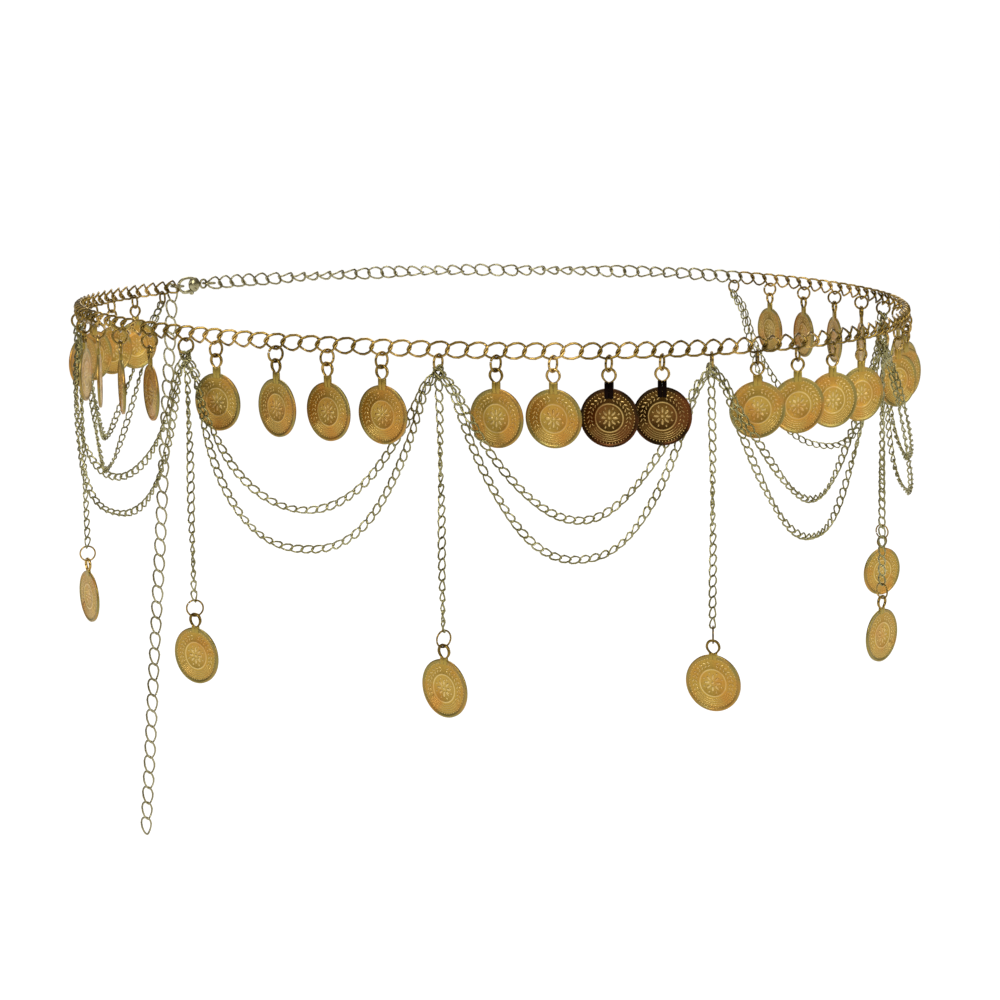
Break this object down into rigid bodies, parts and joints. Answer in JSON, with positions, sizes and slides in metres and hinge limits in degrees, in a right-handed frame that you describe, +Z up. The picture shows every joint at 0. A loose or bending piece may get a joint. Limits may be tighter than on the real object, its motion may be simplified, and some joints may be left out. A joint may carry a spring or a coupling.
{
  "type": "tassel waist chain",
  "caption": "Belt of curb chain with hanging coins, swags of fine chain, tassels that end in a coin, a lobster clasp and an extension chain.",
  "frame": {"origin": "middle of the waist loop, at the height of the belt chain", "axes": "+X towards the right of the picture, -Y out of the front towards the camera, +Z up"},
  "size_m": [0.2898, 0.2443, 0.2126],
  "materials": {
    "gold_chain": "polished gold plate on wire",
    "gold_coin": "satin gold plate on stamped coins and the clasp",
    "dark_coin": "polished dark bronze with rubbed gold relief"
  },
  "bodies": {
    "chain": {"back_chain": "gold_chain", "belt_1": "gold_chain", "belt_2": "gold_chain", "belt_3": "gold_chain", "belt_4": "gold_chain", "belt_5": "gold_chain", "belt_6": "gold_chain", "belt_7": "gold_chain", "clasp": "gold_coin", "clasp_ring": "gold_chain", "junction_ring_1": "gold_chain", "junction_ring_8": "gold_chain", "swag_1": "gold_chain", "swag_2": "gold_chain", "swag_3": "gold_chain", "swag_4": "gold_chain", "swag_5": "gold_chain", "swag_6": "gold_chain", "swag_7": "gold_chain", "tail_chain": "gold_chain", "tassel_1": "gold_chain", "tassel_2": "gold_chain", "tassel_3": "gold_chain", "tassel_4": "gold_chain", "tassel_5": "gold_chain", "tassel_6": "gold_chain"},
    "coin_1_1": {"coin_1_1": "gold_coin"},
    "coin_1_2": {"coin_1_2": "gold_coin"},
    "coin_1_3": {"coin_1_3": "gold_coin"},
    "coin_1_4": {"coin_1_4": "gold_coin"},
    "coin_2_1": {"coin_2_1": "gold_coin"},
    "coin_2_2": {"coin_2_2": "gold_coin"},
    "coin_2_3": {"coin_2_3": "gold_coin"},
    "coin_2_4": {"coin_2_4": "gold_coin"},
    "coin_3_1": {"coin_3_1": "gold_coin"},
    "coin_3_2": {"coin_3_2": "gold_coin"},
    "coin_3_3": {"coin_3_3": "gold_coin"},
    "coin_3_4": {"coin_3_4": "gold_coin"},
    "coin_4_1": {"coin_4_1": "gold_coin"},
    "coin_4_2": {"coin_4_2": "gold_coin"},
    "coin_4_3": {"coin_4_3": "dark_coin"},
    "coin_4_4": {"coin_4_4": "dark_coin"},
    "coin_5_1": {"coin_5_1": "gold_coin"},
    "coin_5_2": {"coin_5_2": "gold_coin"},
    "coin_5_3": {"coin_5_3": "gold_coin"},
    "coin_5_4": {"coin_5_4": "gold_coin"},
    "coin_6_1": {"coin_6_1": "gold_coin"},
    "coin_6_2": {"coin_6_2": "gold_coin"},
    "coin_6_3": {"coin_6_3": "gold_coin"},
    "coin_6_4": {"coin_6_4": "gold_coin"},
    "coin_7_1": {"coin_7_1": "gold_coin"},
    "coin_7_2": {"coin_7_2": "gold_coin"},
    "coin_7_3": {"coin_7_3": "gold_coin"},
    "coin_7_4": {"coin_7_4": "gold_coin"},
    "tassel_coin_1": {"tassel_coin_1": "gold_coin"},
    "tassel_coin_2": {"tassel_coin_2": "gold_coin"},
    "tassel_coin_3": {"tassel_coin_3": "gold_coin"},
    "tassel_coin_4": {"tassel_coin_4": "gold_coin"},
    "tassel_coin_5": {"tassel_coin_5": "gold_coin"},
    "tassel_coin_6": {"tassel_coin_6": "gold_coin"}
  },
  "joints": [
    {"name": "coin_1_1_swing", "type": "hinge", "parent": "chain", "child": "coin_1_1", "pos_m": [-0.12334, 0.05348, 0.00006], "axis": [0.5219, 0.8528, -0.0202], "range_deg": [-30, 5]},
    {"name": "coin_1_2_swing", "type": "hinge", "parent": "chain", "child": "coin_1_2", "pos_m": [-0.1308, 0.03912, 0.00039], "axis": [0.3962, 0.918, -0.0199], "range_deg": [-30, 75]},
    {"name": "coin_1_3_swing", "type": "hinge", "parent": "chain", "child": "coin_1_3", "pos_m": [-0.13608, 0.02383, 0.0007], "axis": [0.2524, 0.9674, -0.0186], "range_deg": [-30, 75]},
    {"name": "coin_1_4_swing", "type": "hinge", "parent": "chain", "child": "coin_1_4", "pos_m": [-0.13888, 0.00789, 0.00099], "axis": [0.0902, 0.9958, -0.016], "range_deg": [-5, 75]},
    {"name": "coin_2_1_swing", "type": "hinge", "parent": "chain", "child": "coin_2_1", "pos_m": [-0.13598, -0.02421, 0.00136], "axis": [-0.2561, 0.9666, -0.0065], "range_deg": [-30, 5]},
    {"name": "coin_2_2_swing", "type": "hinge", "parent": "chain", "child": "coin_2_2", "pos_m": [-0.13065, -0.03949, 0.00142], "axis": [-0.3995, 0.9167, -0.001], "range_deg": [-30, 75]},
    {"name": "coin_2_3_swing", "type": "hinge", "parent": "chain", "child": "coin_2_3", "pos_m": [-0.12313, -0.05382, 0.00139], "axis": [-0.5248, 0.8512, 0.0048], "range_deg": [-30, 75]},
    {"name": "coin_2_4_swing", "type": "hinge", "parent": "chain", "child": "coin_2_4", "pos_m": [-0.11374, -0.067, 0.00127], "axis": [-0.6323, 0.7747, 0.0104], "range_deg": [-5, 75]},
    {"name": "coin_3_1_swing", "type": "hinge", "parent": "chain", "child": "coin_3_1", "pos_m": [-0.09394, -0.08659, 0.00085], "axis": [-0.7791, 0.6267, 0.0194], "range_deg": [-30, 2]},
    {"name": "coin_3_2_swing", "type": "hinge", "parent": "chain", "child": "coin_3_2", "pos_m": [-0.07694, -0.09835, 0.00039], "axis": [-0.8604, 0.5089, 0.025], "range_deg": [-30, 75]},
    {"name": "coin_3_3_swing", "type": "hinge", "parent": "chain", "child": "coin_3_3", "pos_m": [-0.06258, -0.10583, -0.00005], "axis": [-0.9099, 0.4137, 0.0287], "range_deg": [-30, 75]},
    {"name": "coin_3_4_swing", "type": "hinge", "parent": "chain", "child": "coin_3_4", "pos_m": [-0.04752, -0.11174, -0.00054], "axis": [-0.9482, 0.3162, 0.0317], "range_deg": [-5, 75]},
    {"name": "coin_4_1_swing", "type": "hinge", "parent": "chain", "child": "coin_4_1", "pos_m": [-0.01596, -0.11872, -0.00163], "axis": [-0.9931, 0.1122, 0.0353], "range_deg": [-30, 5]},
    {"name": "coin_4_2_swing", "type": "hinge", "parent": "chain", "child": "coin_4_2", "pos_m": [0.0002, -0.11965, -0.00221], "axis": [-0.9994, -0.0017, 0.0358], "range_deg": [-30, 75]},
    {"name": "coin_4_3_swing", "type": "hinge", "parent": "chain", "child": "coin_4_3", "pos_m": [0.01635, -0.11868, -0.00278], "axis": [-0.9928, -0.1148, 0.0352], "range_deg": [-30, 75]},
    {"name": "coin_4_4_swing", "type": "hinge", "parent": "chain", "child": "coin_4_4", "pos_m": [0.03231, -0.11597, -0.00334], "axis": [-0.9752, -0.2185, 0.0338], "range_deg": [-5, 75]},
    {"name": "coin_5_1_swing", "type": "hinge", "parent": "chain", "child": "coin_5_1", "pos_m": [0.06294, -0.10566, -0.00436], "axis": [-0.9089, -0.4161, 0.0286], "range_deg": [-30, 5]},
    {"name": "coin_5_2_swing", "type": "hinge", "parent": "chain", "child": "coin_5_2", "pos_m": [0.07728, -0.09815, -0.0048], "axis": [-0.8591, -0.5113, 0.0249], "range_deg": [-30, 75]},
    {"name": "coin_5_3_swing", "type": "hinge", "parent": "chain", "child": "coin_5_3", "pos_m": [0.09071, -0.08911, -0.00517], "axis": [-0.7969, -0.6038, 0.0206], "range_deg": [-30, 75]},
    {"name": "coin_5_4_swing", "type": "hinge", "parent": "chain", "child": "coin_5_4", "pos_m": [0.10303, -0.07861, -0.00546], "axis": [-0.721, -0.6927, 0.0156], "range_deg": [-5, 75]},
    {"name": "coin_6_1_swing", "type": "hinge", "parent": "chain", "child": "coin_6_1", "pos_m": [0.12334, -0.05348, -0.00579], "axis": [-0.5219, -0.853, 0.0046], "range_deg": [-30, 5]},
    {"name": "coin_6_2_swing", "type": "hinge", "parent": "chain", "child": "coin_6_2", "pos_m": [0.1308, -0.03912, -0.00582], "axis": [-0.3962, -0.9182, -0.0011], "range_deg": [-30, 75]},
    {"name": "coin_6_3_swing", "type": "hinge", "parent": "chain", "child": "coin_6_3", "pos_m": [0.13608, -0.02382, -0.00576], "axis": [-0.2524, -0.9676, -0.0067], "range_deg": [-30, 75]},
    {"name": "coin_6_4_swing", "type": "hinge", "parent": "chain", "child": "coin_6_4", "pos_m": [0.13888, -0.00788, -0.00561], "axis": [-0.0901, -0.9959, -0.0117], "range_deg": [-5, 75]},
    {"name": "coin_7_1_swing", "type": "hinge", "parent": "chain", "child": "coin_7_1", "pos_m": [0.13598, 0.02422, -0.0051], "axis": [0.2562, -0.9664, -0.0187], "range_deg": [-30, 5]},
    {"name": "coin_7_2_swing", "type": "hinge", "parent": "chain", "child": "coin_7_2", "pos_m": [0.13064, 0.03949, -0.00478], "axis": [0.3995, -0.9165, -0.0199], "range_deg": [-30, 75]},
    {"name": "coin_7_3_swing", "type": "hinge", "parent": "chain", "child": "coin_7_3", "pos_m": [0.12313, 0.05383, -0.00446], "axis": [0.5247, -0.851, -0.0202], "range_deg": [-30, 75]},
    {"name": "coin_7_4_swing", "type": "hinge", "parent": "chain", "child": "coin_7_4", "pos_m": [0.11374, 0.067, -0.00413], "axis": [0.6322, -0.7746, -0.0196], "range_deg": [-5, 75]},
    {"name": "tassel_coin_1_swing", "type": "hinge", "parent": "chain", "child": "tassel_coin_1", "pos_m": [-0.13885, -0.00828, -0.07609], "axis": [-0.0698, 0.9976, 0], "range_deg": [-60, 60]},
    {"name": "tassel_coin_2_swing", "type": "hinge", "parent": "chain", "child": "tassel_coin_2", "pos_m": [-0.10274, -0.07888, -0.07774], "axis": [-0.0175, 0.9998, 0], "range_deg": [-60, 60]},
    {"name": "tassel_coin_3_swing", "type": "hinge", "parent": "chain", "child": "tassel_coin_3", "pos_m": [-0.03192, -0.11606, -0.08057], "axis": [-0.5, 0.866, 0], "range_deg": [-60, 60]},
    {"name": "tassel_coin_4_swing", "type": "hinge", "parent": "chain", "child": "tassel_coin_4", "pos_m": [0.04789, -0.11162, -0.08488], "axis": [-0.9703, 0.2419, 0], "range_deg": [-60, 60]},
    {"name": "tassel_coin_5_swing", "type": "hinge", "parent": "chain", "child": "tassel_coin_5", "pos_m": [0.11399, -0.0667, -0.08657], "axis": [-0.9063, -0.4226, 0], "range_deg": [-60, 60]},
    {"name": "tassel_coin_6_swing", "type": "hinge", "parent": "chain", "child": "tassel_coin_6", "pos_m": [0.13884, 0.00829, -0.08538], "axis": [-0.766, -0.6428, 0], "range_deg": [-60, 60]}
  ]
}
